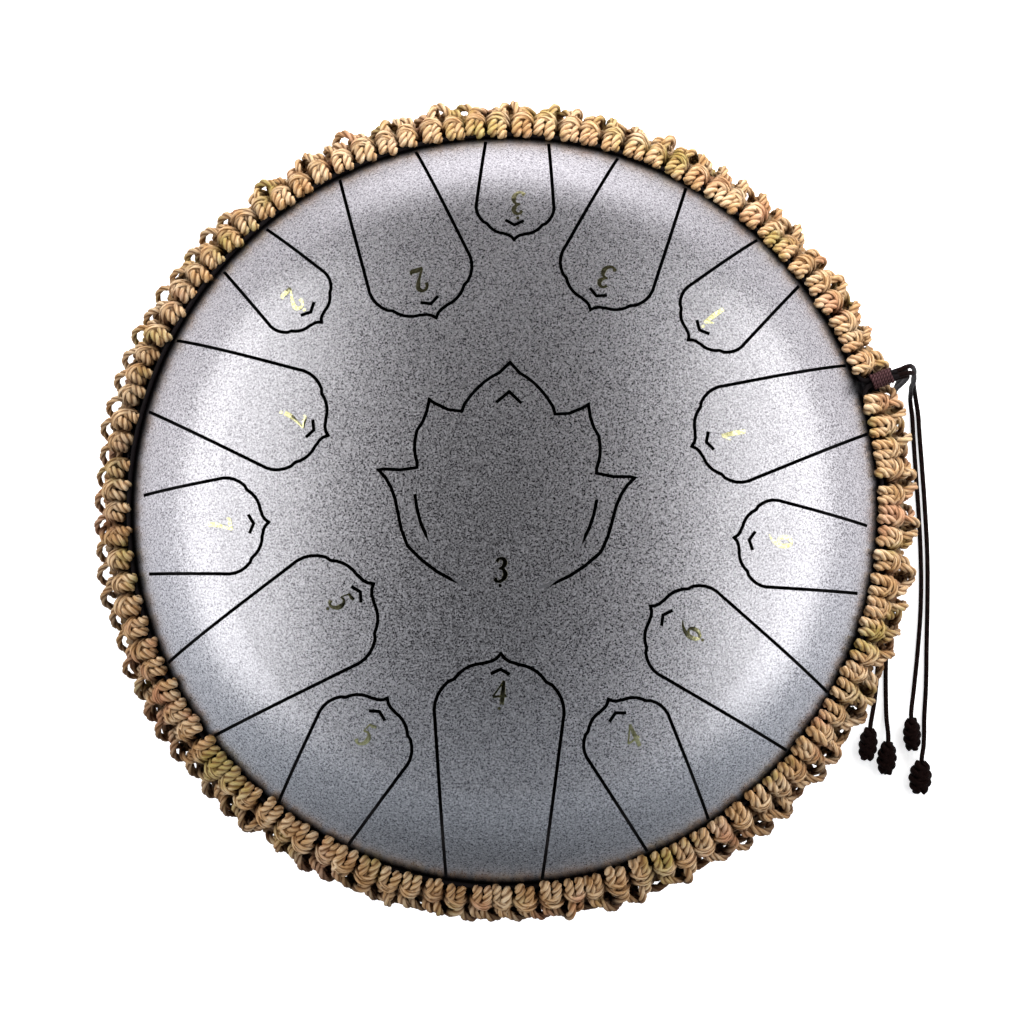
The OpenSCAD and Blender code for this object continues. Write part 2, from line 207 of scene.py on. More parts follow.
paintLook = {
    "light": (0.685, 0.671, 0.70), "dark": (0.172, 0.167, 0.18), "bowlShade": 0.9,
    "grain": 1150.0, "grainShare": 0.7, "fineGrain": 2300.0, "fineShare": 0.3, "clouds": 9.0,
    "specks": (0.36, 0.64),  # the grain is all dark below the first and all light above the second
    "relief": 0.4, "grainDepth": 0.0001,
    "metal": 0.93, "roughness": 0.36, "roughGrain": 0.22, "roughClouds": 0.06,
    "dust": (0.1640, 0.1675),  # distance from the axis where the painted shade beside the jute begins and is full
    "dustShift": 0.004,
    # the near-black of the painted shade beside the jute, in the slots and inside the bowl
    "grime": (0.012, 0.011, 0.012),
}
# The dome's outer face is a crown arc up to join, and a shoulder arc beyond it. What lies deeper under that face
# than cut is the edge of a slot.
domeShape = {
    "crown": 0.3682, "crownHeight": -0.1942, "join": 0.127,
    "shoulder": 0.072, "shoulderReach": 0.10217, "shoulderHeight": 0.08382,
    "cut": (0.0003, 0.0005),
}
bowlShape = {"arc": 0.10387, "arcReach": 0.06767, "arcHeight": 0.11187, "inside": (0.0006, 0.001)}


def steelPaint(name, shade, isDome):
    p = paintLook
    f = Finish(name)
    where = f.place()
    grain = f.noise(where, p["grain"], 2.0, 0.6)
    fine = f.noise(where, p["fineGrain"], 1.0, 0.5)
    cloud = f.noise(where, p["clouds"], 2.0, 0.5)
    speck = f.level(grain * p["grainShare"] + fine * p["fineShare"], *p["specks"])
    body = f.mix(speck, toned(p["dark"], shade), toned(p["light"], shade))
    reach = f.fromAxis(where)
    if isDome:  # the slot walls below the dome's face are painted near-black: painted shade in the slots
        d = domeShape
        crown = (d["crown"] ** 2 - reach * reach) ** 0.5 + d["crownHeight"]
        along = reach - d["shoulderReach"]
        shoulder = (d["shoulder"] ** 2 - along * along) ** 0.5 + d["shoulderHeight"]
        face = crown + (shoulder - crown) * f.maths("GREATER_THAN", reach, d["join"])
        cut = f.level(face - f.split(where, 2), *d["cut"])
        # painted shade: the dome darkens to near-black beside the jute band
        dust = f.level(reach + (grain - 0.5) * p["dustShift"], *p["dust"])
        body = f.mix(dust, f.mix(cut, body, p["grime"]), p["grime"])
    else:  # the inside of the bowl is painted near-black: painted shade inside the drum
        b = bowlShape
        out = f.maths("MAXIMUM", reach - b["arcReach"], 0.0)
        up = f.split(where, 2) - b["arcHeight"]
        depth = b["arc"] - (out * out + up * up) ** 0.5
        body = f.mix(f.level(depth, *b["inside"]), body, p["grime"])
    even = p["roughness"] - p["roughClouds"] / 2
    f.set(Base_Color=body, Metallic=p["metal"],
          Roughness=(speck - 0.5) * p["roughGrain"] + cloud * p["roughClouds"] + even,
          Normal=f.bump(grain, p["relief"], p["grainDepth"]))
    return f.material


rubberLook = {
    "seal": (0.03, 0.03, 0.032), "foot": (0.022, 0.022, 0.024),
    "bloom": 60.0, "bloomShades": (0.7, 1.5), "roughness": (0.62, 0.82),
    "grain": 1400.0, "relief": 0.25, "grainDepth": 0.0001,
}


def rubber(name, tone):
    look = rubberLook
    f = Finish(name)
    where = f.place()
    grain = f.noise(where, look["grain"], 2.0, 0.6)
    bloom = f.noise(where, look["bloom"], 3.0, 0.5)
    worn, dusty = look["bloomShades"]
    f.set(Base_Color=f.mix(bloom, toned(tone, worn), toned(tone, dusty)),
          Roughness=f.level(bloom, *noiseRange, *look["roughness"]),
          Normal=f.bump(grain, look["relief"], look["grainDepth"]))
    return f.material


stringLook = {
    "dark": (0.004, 0.003, 0.003), "light": (0.012, 0.009, 0.01),
    "grain": 700.0, "roughness": 0.9, "gloss": 0.1,
}


def darkString(name):
    f = Finish(name)
    grain = f.noise(f.place(), stringLook["grain"], 2.0, 0.6)
    f.set(Base_Color=f.mix(grain, stringLook["dark"], stringLook["light"]),
          Roughness=stringLook["roughness"], Specular_IOR_Level=stringLook["gloss"])
    return f.material


juteLook = {
    "pale": colour(230, 206, 172), "warm": colour(194, 152, 104), "deep": colour(116, 74, 36),
    "gap": colour(52, 26, 12), "olive": colour(156, 146, 62), "rose": colour(190, 124, 104),
    "tones": (0.30, 0.45, 0.62),  # where the deep, the warm and the pale stand in the mix of streaks and patches
    "streaks": (2.5, 26, 1), "hairs": (5, 80, 1), "drift": (240, 240, 240),
    "patches": 95.0, "tints": 57.0, "mainShare": 0.6, "otherShare": 0.4,
    "oliveTint": (0.55, 0.72, 0.0, 0.6), "roseTint": (0.43, 0.28, 0.0, 0.45),
    "plies": 3, "ridge": (-1.0, 0.25), "groove": (-1.0, -0.8, 0.5, 0.0), "grooveShade": 0.7,
    "middle": 0.102, "pit": (0.0015, 0.0105),  # the yarn is painted darkest near the flange: painted shade
    "playerSide": (-0.18, 0.10, 0.86, 0.26),  # how dark that painted shade is from the front to the back: painted shade on the player's side
    "core": (0.1752, 0.0058), "hollow": (0.0036, 0.0064, 0.5, 0.0),  # and painted shade deep in the band, near its core
    "roughness": (0.75, 0.9), "gloss": 0.15, "relief": 0.6, "yarnDepth": 0.0004,
}


def juteYarn(name):
    j = juteLook
    f = Finish(name)
    around = f.place("UV")
    where = f.place()
    drift = f.vector("MULTIPLY", where, j["drift"])
    streaks = f.noise(f.vector("ADD", f.stretched(around, j["streaks"]), drift), 1.0, 3.0, 0.65, 0.25)
    hairs = f.noise(f.vector("ADD", f.stretched(around, j["hairs"]), drift), 1.0, 1.0, 0.5)
    patch = f.noise(where, j["patches"], 2.0, 0.55)
    tint = f.noise(where, j["tints"], 1.0, 0.5)
    ply = f.maths("COSINE", f.split(around, 1) * (j["plies"] * fullTurn))
    body = f.ramp(streaks * j["mainShare"] + patch * j["otherShare"],
                  list(zip(j["tones"], (j["deep"], j["warm"], j["pale"]))))
    body = f.mix(f.level(tint, *j["oliveTint"]), body, j["olive"])
    body = f.mix(f.level(tint, *j["roseTint"]), body, j["rose"])
    # painted shade in the grooves between the plies
    body = f.mix(f.level(ply, *j["ridge"]), f.mix(j["grooveShade"], body, j["deep"]), body)
    body = f.mix(f.level(ply, *j["groove"]), body, j["gap"])
    # painted shade deep in the band, near its core
    rise = f.maths("ABSOLUTE", f.split(where, 2) - j["middle"])
    away = f.fromAxis(where) - j["core"][0]
    above = rise - j["core"][1]
    body = f.mix(f.level((away * away + above * above) ** 0.5, *j["hollow"]), body, j["gap"])
    # painted shade: darker near the flange and on the player's side
    paintedShade = f.level(rise, *j["pit"], 1.0, 0.0) * f.level(f.split(where, 1), *j["playerSide"])
    f.set(Base_Color=f.mix(paintedShade, body, j["gap"]), Specular_IOR_Level=j["gloss"],
          Roughness=f.level(streaks, *noiseRange, *j["roughness"]),
          Normal=f.bump(streaks * j["mainShare"] + hairs * j["otherShare"], j["relief"], j["yarnDepth"]))
    return f.material


cordLook = {
    "dark": colour(8, 4, 4), "light": colour(28, 16, 14),
    # the sliding knots' cord is painted lighter than the tails': painted highlights on its turns
    "knotDark": colour(30, 17, 18), "knotLight": colour(84, 58, 60),
    "plies": 2, "turns": 88.0,  # along a whole cord
    "ply": (-0.9, 0.6), "plyShare": 0.7, "wax": 420.0, "waxShare": 0.3,
    "roughness": (0.42, 0.62), "gloss": 0.02,
    "plyRelief": 0.8, "waxRelief": 0.2, "relief": 0.5, "cordDepth": 0.0003,
}


def waxedCord(name, dark, light):
    c = cordLook
    f = Finish(name)
    wax = f.noise(f.place(), c["wax"], 2.0, 0.6)
    around = f.place("UV")
    lay = f.split(around, 1) * (c["plies"] * fullTurn) + f.split(around, 0) * (c["turns"] * fullTurn)
    ply = f.level(f.maths("SINE", lay), *c["ply"])
    # the light and dark stripes along the plies are painted sheen on the plies and painted shade between them
    f.set(Base_Color=f.mix(ply * c["plyShare"] + wax * c["waxShare"], dark, light),
          Roughness=f.level(wax, *noiseRange, *c["roughness"]), Specular_IOR_Level=c["gloss"],
          Normal=f.bump(ply * c["plyRelief"] + wax * c["waxRelief"], c["relief"], c["cordDepth"]))
    return f.material


printLook = {
    "worn": (0.36, 0.34, 0.15), "bright": (0.78, 0.75, 0.46),
    "wear": 900.0, "wearEdge": (0.35, 0.65), "roughness": (0.08, 0.15),
}


def goldPrint(name):
    f = Finish(name)
    wear = f.noise(f.place(), printLook["wear"], 3.0, 0.6)
    f.set(Base_Color=f.mix(f.level(wear, *printLook["wearEdge"]), printLook["worn"], printLook["bright"]),
          Metallic=1.0, Roughness=f.level(wear, *noiseRange, *printLook["roughness"]))
    return f.material


finishes = {
    "top_paint": steelPaint("topPaint", 1.0, True),
    "bottom_paint": steelPaint("bottomPaint", paintLook["bowlShade"], False),
    "seal_rubber": rubber("sealRubber", rubberLook["seal"]),
    "foot_rubber": rubber("footRubber", rubberLook["foot"]),
    "jute": juteYarn("juteYarn"),
    "waxed_cord": waxedCord("waxedCord", cordLook["dark"], cordLook["light"]),
    "sliding_knot": waxedCord("slidingKnotCord", cordLook["knotDark"], cordLook["knotLight"]),
    "drawstring": darkString("drawstringCord"),
    "numeral": goldPrint("goldPrint"),
}
carried = {
    "top_shell": "top_paint", "bottom_shell": "bottom_paint", "rim_seal": "seal_rubber",
    "foot_1": "foot_rubber", "foot_2": "foot_rubber", "foot_3": "foot_rubber", "foot_4": "foot_rubber",
    "top_drawstring": "drawstring", "bottom_drawstring": "drawstring",
}
for nodeName, finishName in carried.items():
    for slot in nodes[nodeName].material_slots:
        slot.material = finishes[finishName]
print("finishes:", len(finishes))


def addPiece(name, data, body, material):
    piece = addObject(name, data)
    data.materials.clear()
    data.materials.append(finishes[material])
    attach(piece, body)
    return piece


def flatSection(name, outline):  # a closed outline that strands are drawn along
    data = bpy.data.curves.new(name, "CURVE")
    data.dimensions = "2D"
    ring = data.splines.new("POLY")
    ring.points.add(len(outline) - 1)
    ring.use_cyclic_u = True
    for point, (x, y) in zip(ring.points, outline):
        point.co = (x, y, 0, 1)
    return addObject(name, data)


def ropeSection(name, radius, plies, depth, points):  # round, with a groove between the plies
    outline = []
    for i in range(points):
        angle = fullTurn * i / points
        reach = radius * (1 - depth * (1 - abs(math.cos(plies * angle / 2))))
        outline.append((reach * math.cos(angle), reach * math.sin(angle)))
    return flatSection(name, outline)


def newCurve(name, rings, section=None):
    data = bpy.data.curves.new(name, "CURVE")
    data.dimensions = "3D"
    data.resolution_u = rings
    data.use_fill_caps = True
    if section:
        data.bevel_mode = "OBJECT"
        data.bevel_object = section
    return data


def smoothLine(data, places):
    line = data.splines.new("BEZIER")
    line.bezier_points.add(len(places) - 1)
    for point, place in zip(line.bezier_points, places):
        point.co = place
        point.handle_left_type = point.handle_right_type = "AUTO"
    return line.bezier_points


def curveMesh(name, data):
    holder = addObject(name + "Line", data)
    view = bpy.context.evaluated_depsgraph_get()
    mesh = bpy.data.meshes.new_from_object(holder.evaluated_get(view), depsgraph=view)
    bpy.data.objects.remove(holder)
    bpy.data.curves.remove(data)
    mesh.name = name
    return mesh


lumpScale = 700  # of the uneven surface of the jute yarn


def strandMesh(name, strands, section, rings, lump=0.0):  # each point of a strand has a place, a girth and a twist
    data = newCurve(name, rings, section)
    for strand in strands:
        line = data.splines.new("NURBS")
        line.points.add(len(strand) - 1)
        for point, (place, girth, twist) in zip(line.points, strand):
            point.co = (*place, 1)
            point.radius = girth
            point.tilt = twist
        line.order_u = 4
        line.use_endpoint_u = True
    mesh = curveMesh(name, data)
    for vertex, normal in zip(mesh.vertices, [v.normal.copy() for v in mesh.vertices]):
        vertex.co += normal * lump * noise.noise(vertex.co * lumpScale)
    for face in mesh.polygons:
        face.use_smooth = True
    return mesh


# Cords: the four tails repeat the routes of the CAD's soft solids, seen from the seam and in millimetres.
cords = {
    "diameter": 0.0022,
    "seamAngle": 21.0,
    "sideways": 1.2,
    "start": 187.5, "straight": 189.7,
    "topLevel": 112.0, "bottomLevel": 92.0,
    "rings": 6, "roundness": 3,
    "seed": 11,
}
routes = {
    "top_tail_a": [
        (192, -1.5, 111), (194, -2, 108), (195, -2.5, 103), (197, -3, 85), (199, -4, 60),
        (200, -5, 35), (201, -7, 15), (200.5, -11, 5), (199.5, -17, 2), (197, -26, 1.2),
        (192, -44, 1.2), (187, -62, 1.2), (181, -82, 1.2), (174, -102, 1.2), (165.5, -122, 1.2),
        (157, -140, 1.8), (151.4, -151, 4.8), (150.8, -153, 4.8)],
    "top_tail_b": [
        (192, 1.4, 111), (194, 1.4, 108), (195.2, 1.2, 103), (198, 0.6, 85), (200.5, -0.5, 60),
        (202, -2, 35), (203.4, -5, 15), (203.4, -10.5, 5), (202.4, -17.5, 2), (199.9, -26.8, 1.2),
        (195, -45, 1.2), (190, -63, 1.2), (184, -83, 1.2), (177, -103, 1.2), (169.5, -123, 1.2),
        (162.8, -141, 1.2), (157, -155, 1.2), (154.4, -162, 1.6), (152.2, -167, 3.2), (149.4, -172, 4.8),
        (148.6, -173.8, 4.8)],
    "bottom_tail_a": [
        (192, -1.5, 91), (193.6, -1.8, 88), (194.2, -2, 83), (194.5, -2.5, 65), (194, -3, 45),
        (193, -4, 25), (191.5, -7, 10), (189.5, -12, 3.5), (187, -19, 1.2), (181, -34, 1.2),
        (174, -52, 1.2), (167, -70, 1.2), (160, -88, 1.2), (152.5, -106, 1.2), (144.5, -124, 1.2),
        (137.5, -139, 1.8), (131.6, -149.2, 4.8), (130.7, -151, 4.8)],
    "bottom_tail_b": [
        (192, 1.4, 91), (193.8, 1.4, 88), (194.6, 1.2, 83), (195.5, 0.6, 65), (195.5, 0, 45),
        (195, -1.5, 25), (194, -5, 10), (192.2, -11.5, 3.5), (189.7, -19.5, 1.2), (184, -35, 1.2),
        (177, -53, 1.2), (170, -71, 1.2), (163, -89, 1.2), (155.5, -107, 1.2), (148.2, -125, 1.2),
        (142.6, -141, 1.2), (140, -149, 2), (137.4, -158.2, 4.8), (136.6, -160, 4.8)],
}
# a barrel of slanted strands round a heart, in millimetres along the knot and shares of its width
endKnots = {
    "length": 15.0, "tall": 3.0,
    "reach": {"top_tail_a": 3.0, "top_tail_b": 4.3, "bottom_tail_a": 3.2, "bottom_tail_b": 3.4},
    "shoulder": 0.12, "fullness": 0.6,  # how wide it is at its ends, and how soon it is full
    "cord": 1.7, "section": (4, 0.08, 12), "rings": 3,  # the section's plies, groove and points
    "strands": 3, "lead": 10.8, "steps": 18, "twist": 0.5,
    "depth": (0.95, 1.0), "girth": (0.94, 1.03),
    "heart": (1.4, 4.5, 7.5, 10.5, 13.2), "heartGirth": 1.5, "heartDepth": 0.1,
}
# the strands that cross over its upper side: their places are shares of the knot's length
crossings = {
    "strands": 3, "steps": 8, "first": 0.12, "pitch": 0.2, "run": 0.32,
    "lift": 1.12, "arch": (0.18, 0.64), "fullness": 0.5, "from": 2.75, "sweep": 1.7,
    "girth": 0.85, "twist": 0.6,
}
slidingKnots = {
    "start": 174.4, "length": 11.0, "turns": 7, "coil": 3.05, "flatter": 0.3,
    "cord": 0.8, "section": (3, 0.05, 9), "rings": 2,
    "steps": 10,  # in each turn
    "wave": 0.2, "waves": 37, "twist": 5,
}


def fromSeam(x, y, z):
    angle = math.radians(cords["seamAngle"])
    return Vector((x * math.cos(angle) - y * math.sin(angle),
                   x * math.sin(angle) + y * math.cos(angle), z)) * mm


def tailPoints(name):
    side = cords["sideways"] * (-1 if name.endswith("a") else 1)
    level = cords["topLevel"] if name.startswith("top") else cords["bottomLevel"]
    return [fromSeam(cords["start"], side, level), fromSeam(cords["straight"], side, level)] + [
        fromSeam(*p) for p in routes[name]]


def tailCord(name):
    data = newCurve(name + "Cord", cords["rings"])
    data.bevel_depth = cords["diameter"] / 2
    data.bevel_resolution = cords["roundness"]
    smoothLine(data, tailPoints(name))
    return addPiece(name + "Cord", data, "drum", "waxed_cord")


def endKnot(name, tail, section, rng):
    k, c = endKnots, crossings
    places = tailPoints(tail)
    start = places[-1]
    along = (places[-1] - places[-2]).normalized()
    side = along.cross(Vector((0, 0, 1))).normalized()
    up = side.cross(along)
    phase = rng.uniform(0, fullTurn)
    wide = k["reach"][tail]

    def at(distance, share, angle):
        inside = min(max(distance / k["length"], 0), 1)
        swell = k["shoulder"] + (1 - k["shoulder"]) * math.sin(math.pi * inside) ** k["fullness"]
        return start + (along * distance + side * wide * share * swell * math.cos(angle)
                        + up * k["tall"] * share * swell * math.sin(angle)) * mm

    strands = []
    first, last = k["cord"] * 0.2, k["length"] - k["cord"] * 0.5  # the ends close over the cord
    for n in range(k["strands"]):
        line = []
        for i in range(k["steps"] + 1):
            distance = first + (last - first) * i / k["steps"]
            angle = phase + n * fullTurn / k["strands"] + fullTurn * distance / k["lead"]
            line.append((at(distance, rng.uniform(*k["depth"]), angle), rng.uniform(*k["girth"]), k["twist"] * i))
        strands.append(line)
    for n in range(c["strands"]):
        line = []
        for i in range(c["steps"] + 1):
            t = i / c["steps"]
            distance = k["length"] * (c["first"] + c["pitch"] * n + c["run"] * t)
            arch = math.sin(math.pi * (c["arch"][0] + c["arch"][1] * t)) ** c["fullness"]
            line.append((at(distance, c["lift"] * arch, c["from"] - c["sweep"] * t), c["girth"], c["twist"] * i))
        strands.append(line)
    strands.append([(at(d, k["heartDepth"], d), k["heartGirth"], d) for d in k["heart"]])
    mesh = strandMesh(name, strands, section, k["rings"])
    return addPiece(name, mesh, "drum", "waxed_cord")


def slidingKnot(name, level, body, section):  # turns wound round the two strands that pass through it
    k = slidingKnots
    steps = k["turns"] * k["steps"]
    coil = []
    for i in range(steps + 1):
        t = i / steps
        angle = t * fullTurn * k["turns"]
        rise = k["wave"] * math.sin(t * k["waves"])
        place = fromSeam(k["start"] + k["cord"] + (k["length"] - 2 * k["cord"]) * t,
                         (k["coil"] + rise) * math.cos(angle),
                         level + (k["coil"] - k["flatter"] + rise) * math.sin(angle))
        coil.append((place, 1.0, k["twist"] * t))
    mesh = strandMesh(name, [coil], section, k["rings"])
    return addPiece(name, mesh, body, "sliding_knot")


def tieCords():
    knotSection = ropeSection("knotSection", endKnots["cord"] * mm, *endKnots["section"])
    wrapSection = ropeSection("wrapSection", slidingKnots["cord"] * mm, *slidingKnots["section"])
    rng = random.Random(cords["seed"])
    for tail in routes:
        strand = tailCord(tail)
        knotName = tail.replace("tail", "end_knot")
        knot = endKnot(knotName + "Turns", tail, knotSection, rng)
        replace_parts(strand, tail)
        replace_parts(knot, knotName)
    for body, level in (("top_slider", cords["topLevel"]), ("bottom_slider", cords["bottomLevel"])):
        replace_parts(slidingKnot(body + "Turns", level, body, wrapSection), body + "_knot")
    for section in (knotSection, wrapSection):
        bpy.data.objects.remove(section)
    print("cords:", len(routes), "tails with their end knots, 2 sliding knots")


tieCords()


# The jute band: lark's head knots side by side over the dome's edge, loops over the rim, the same knots below.
band = {
    "knots": 104,
    "seamGap": 8.0, "gapReach": 175.0,  # the opening that the sliding knots stand in, and where it is measured
    "innerEdge": 171.0,
    "middle": 102.0,  # the flange, which the lower row mirrors the upper about
    "rest": 2.2,  # the least room between a lying strand's middle and the dome
    "room": 1.7,  # and any other strand's
    "lean": 0.62, "leanBearing": 172, "leanSpread": 0.75,  # the knots on the far left lie slanted
    # by bearing in degrees: how far the knots lean in over the dome's edge
    "climb": [(0, 4.3), (45, 3.9), (90, 3.1), (130, 2.6), (150, 1.7), (165, -0.4), (190, 2.0), (215, 5.0),
              (240, 5.2), (262, 2.4), (300, 4.5), (345, 5.3), (360, 4.3)],
    "seed": 5,
}
# the yarn's radius, and the plies, groove and points of its section, its rings and its lumps
yarns = {
    "leg": {"radius": 2.5, "section": (3, 0.36, 12), "rings": 5, "lump": 0.25},
    "bar": {"radius": 1.15, "section": (2, 0.216, 8), "rings": 2, "lump": 0.2},
    "loop": {"radius": 1.9, "section": (3, 0.36, 12), "rings": 4, "lump": 0.25},
}
# the strand that the knots are tied round
core = {"girth": 1.9, "out": 5.4, "heights": (106.0, 106.4), "twist": 1.3}
# what chance does to each knot, between two limits
knotChance = {
    "place": (-0.1, 0.1), "lean": (-0.25, 0.25), "size": (0.88, 1.08), "drop": (-0.7, 0.5), "climb": (-0.5, 0.7),
    "legGirth": (0.86, 1.08), "legTwist": (0.8, 1.2), "stray": (-0.5, 0.5),
    "barPush": (-0.8, 0.6), "barSlew": (-0.14, 0.14), "barGirth": (0.85, 1.25), "barLump": (0.94, 1.06),
}
knots = {
    "leanOut": 0.9, "leanAcross": 0.45, "leanAbout": 5, "rise": 0.85,
    "loose": 107,  # above this height a strand drops and climbs with its knot
    "legTwist": 2.3, "barTwist": 0.9, "endStray": 0.3, "endGirth": 0.8,
}
# across the knot, out from the inner edge, height, and how much of the climb the point takes
legLine = [(2.2, 2.4, 105.0, 0.5), (2.4, 1.6, 109.7, 1), (2.3, 3.4, 111.4, 1), (2.0, 6.0, 110.8, 0.5),
           (1.5, 8.4, 109.0, 0.2), (1.2, 9.2, 105.2, 0)]
barLine = [(-5.3, 3.0, 105.4, 0.5), (-5.0, 5.0, 109.0, 0.6), (-3.6, 7.5, 111.0, 0.6), (0, 9.1, 111.5, 0.55),
           (3.6, 7.5, 111.0, 0.6), (5.0, 5.0, 109.0, 0.6), (5.3, 3.0, 105.4, 0.5)]
outerBarLine = [(-5.4, 4.6, 104.8, 0.4), (-5.2, 6.4, 108.2, 0.5), (-3.6, 9.0, 110.0, 0.5),
                (0, 10.5, 110.2, 0.45),
                (3.6, 9.0, 110.0, 0.5), (5.2, 6.4, 108.2, 0.5), (5.4, 4.6, 104.8, 0.4)]
# by bearing in degrees again: the share of the loops that hang as open scallops and of those with another cord
# below, and how far the scallops and the others are let out
loops = {
    "scallops": [(0, 0.2), (110, 0.2), (150, 0.9), (200, 1.0), (230, 0.9), (262, 0.7), (300, 0.85), (335, 0.6),
                 (360, 0.2)],
    "under": [(0, 0.0), (180, 0.0), (225, 0.9), (330, 0.9), (360, 0.0)],
    "slack": [(0, 1.0), (40, 0.0), (225, 0.0), (262, -1.6), (300, 0.0), (330, 1.6), (360, 1.0)],
    "pull": [(0, 2.4), (40, 0.0), (180, 0.0), (225, 0.4), (260, 0.8), (320, 2.6), (360, 2.4)],
    "pullFrom": 8, "pullOver": 7,
    "slanted": 0.3, "slantedScallops": 0.5, "slantedThinner": 0.35,  # where the knots lean more than slanted
    "rightHanded": 0.6, "twist": 1.5,
}
loopChance = {"push": (-1.6, 0.9), "shift": (-0.9, 0.9), "lift": (-0.8, 0.8), "girth": (0.85, 1.1)}
# across, out and height of the ways over the rim: a short arch, a long scallop, the cord below it, a fat hairpin
loopLines = {
    "arch": [(-2.4, 7.4, 107.4), (-2.8, 9.4, 109.4), (-1.4, 11.0, 108.4), (1.8, 11.6, 104.4),
             (4.4, 11.0, 100.0), (5.0, 9.6, 96.4), (4.4, 7.6, 96.4)],
    "scallop": [(0.6, 7.8, 107.0), (1.4, 11.0, 108.0), (3.4, 14.2, 106.0), (6.4, 15.2, 102.6),
                (9.2, 13.8, 99.4), (10.8, 10.6, 96.8), (10.9, 7.6, 96.8)],
    "under": [(-1.2, 7.6, 101.5), (0.6, 11.2, 100.6), (3.8, 12.5, 100.0), (7.2, 12.5, 100.0),
              (10.2, 11.2, 100.6), (11.8, 7.6, 101.5)],
    "hairpin": [(1.0, 6.6, 108.4), (1.6, 9.4, 110.0), (2.4, 12.4, 108.8), (3.8, 13.6, 103.6),
                (4.8, 12.2, 98.0), (4.4, 9.4, 95.8), (4.0, 7.6, 96.4)],
}


def bandAngle(share):
    gap = band["seamGap"] / band["gapReach"]
    return math.radians(cords["seamAngle"]) + gap / 2 + share * (fullTurn - gap)


def leaning(angle):
    past = angle - math.radians(band["leanBearing"])
    away = math.atan2(math.sin(past), math.cos(past))
    return band["lean"] * math.exp(-(away / band["leanSpread"]) ** 2)


def knotPlace(angle, across, out, height):
    reach = band["innerEdge"] + out
    return Vector((reach * math.cos(angle) - across * math.sin(angle),
                   reach * math.sin(angle) + across * math.cos(angle), height)) * mm


def mirrored(height, flip):
    return 2 * band["middle"] - height if flip else height


def byBearing(table, angle):
    bearing = math.degrees(angle) % 360
    for (low, first), (high, last) in zip(table, table[1:]):
        if low <= bearing <= high:
            return first + (last - first) * (0.5 - 0.5 * math.cos(math.pi * (bearing - low) / (high - low)))


def liftOff(out, height, lying):  # no strand runs in the steel, and a lying one rests on the dome's shoulder
    middle = domeShape["shoulderReach"] / mm
    base = domeShape["shoulderHeight"] / mm
    shoulder = domeShape["shoulder"] / mm
    across = band["innerEdge"] + out - middle
    if lying:
        least = shoulder + band["rest"]
        return out, max(height, base + math.sqrt(max(0, least * least - across * across)))
    share = max(1, (shoulder + band["room"]) / math.hypot(across, height - base))
    return middle + across * share - band["innerEdge"], base + (height - base) * share


def knotRow(rng, offset, flip):
    c = knotChance
    legs, bars = [], []
    for i in range(band["knots"] - (1 if offset else 0)):
        angle = bandAngle((i + 0.5 + offset + rng.uniform(*c["place"])) / band["knots"])
        lean = leaning(angle) + rng.uniform(*c["lean"])
        size = rng.uniform(*c["size"])
        drop = rng.uniform(*c["drop"])
        climb = byBearing(band["climb"], angle) + rng.uniform(*c["climb"])

        def put(across, out, height, share):
            out = out + lean * across * knots["leanOut"] - climb * share
            across = across - lean * (out - knots["leanAbout"]) * knots["leanAcross"]
            if height > knots["loose"]:
                height = height + drop + knots["rise"] * climb * share
            out, height = liftOff(out, height, share == 1)
            return knotPlace(angle, across * size, out * (0.5 + 0.5 * size), mirrored(height, flip))

        for side in (-1, 1):
            phase = rng.uniform(0, fullTurn)
            girth = rng.uniform(*c["legGirth"])
            twist = knots["legTwist"] * rng.uniform(*c["legTwist"])
            stray = Vector([rng.uniform(*c["stray"]) * mm for _ in range(3)])
            leg = []
            for n, (u, v, z, share) in enumerate(legLine):
                tucked = n in (0, len(legLine) - 1)
                leg.append((put(side * u, v, z, share) + stray * (knots["endStray"] if tucked else 1.0),
                            girth * (knots["endGirth"] if tucked else 1.0), phase + twist * n))
            legs.append(leg)
        for line in (barLine, outerBarLine):
            phase = rng.uniform(0, fullTurn)
            push = rng.uniform(*c["barPush"])
            slew = rng.uniform(*c["barSlew"])
            girth = rng.uniform(*c["barGirth"])
            bars.append([(put(u, v + push + slew * u, z, share), girth * rng.uniform(*c["barLump"]),
                          phase + knots["barTwist"] * n) for n, (u, v, z, share) in enumerate(line)])
    return legs, bars


def coreLine(flip):
    steps = band["knots"] * 2
    girth = core["girth"] / yarns["bar"]["radius"]
    return [(knotPlace(bandAngle(i / steps), 0, core["out"], mirrored(core["heights"][i % 2], flip)), girth,
             core["twist"] * i) for i in range(1, steps)]


def outerLoops(rng):
    c = loopChance
    made = []
    for i in range(band["knots"]):
        angle = bandAngle((i + 0.5) / band["knots"])
        lean = leaning(angle)
        kinds = ["scallop" if rng.random() < byBearing(loops["scallops"], angle) else "hairpin", "arch"]
        if lean > loops["slanted"] and rng.random() < loops["slantedScallops"]:
            kinds = ["scallop"]
        if rng.random() < byBearing(loops["under"], angle):
            kinds.append("under")
        for kind in kinds:
            spans = kind in ("scallop", "under")
            if spans and i == band["knots"] - 1:  # none spans the opening
                continue
            side = 1 if spans or rng.random() < loops["rightHanded"] else -1
            push = rng.uniform(*c["push"]) + byBearing(loops["slack" if spans else "pull"], angle)
            shift = rng.uniform(*c["shift"])
            lift = rng.uniform(*c["lift"])
            phase = rng.uniform(0, fullTurn)
            girth = rng.uniform(*c["girth"]) * (1 - loops["slantedThinner"] * lean)
            made.append([(knotPlace(angle, side * (u + shift),
                                    v + push * max(0, v - loops["pullFrom"]) / loops["pullOver"], z + lift),
                          girth, phase + loops["twist"] * n) for n, (u, v, z) in enumerate(loopLines[kind])])
    return made


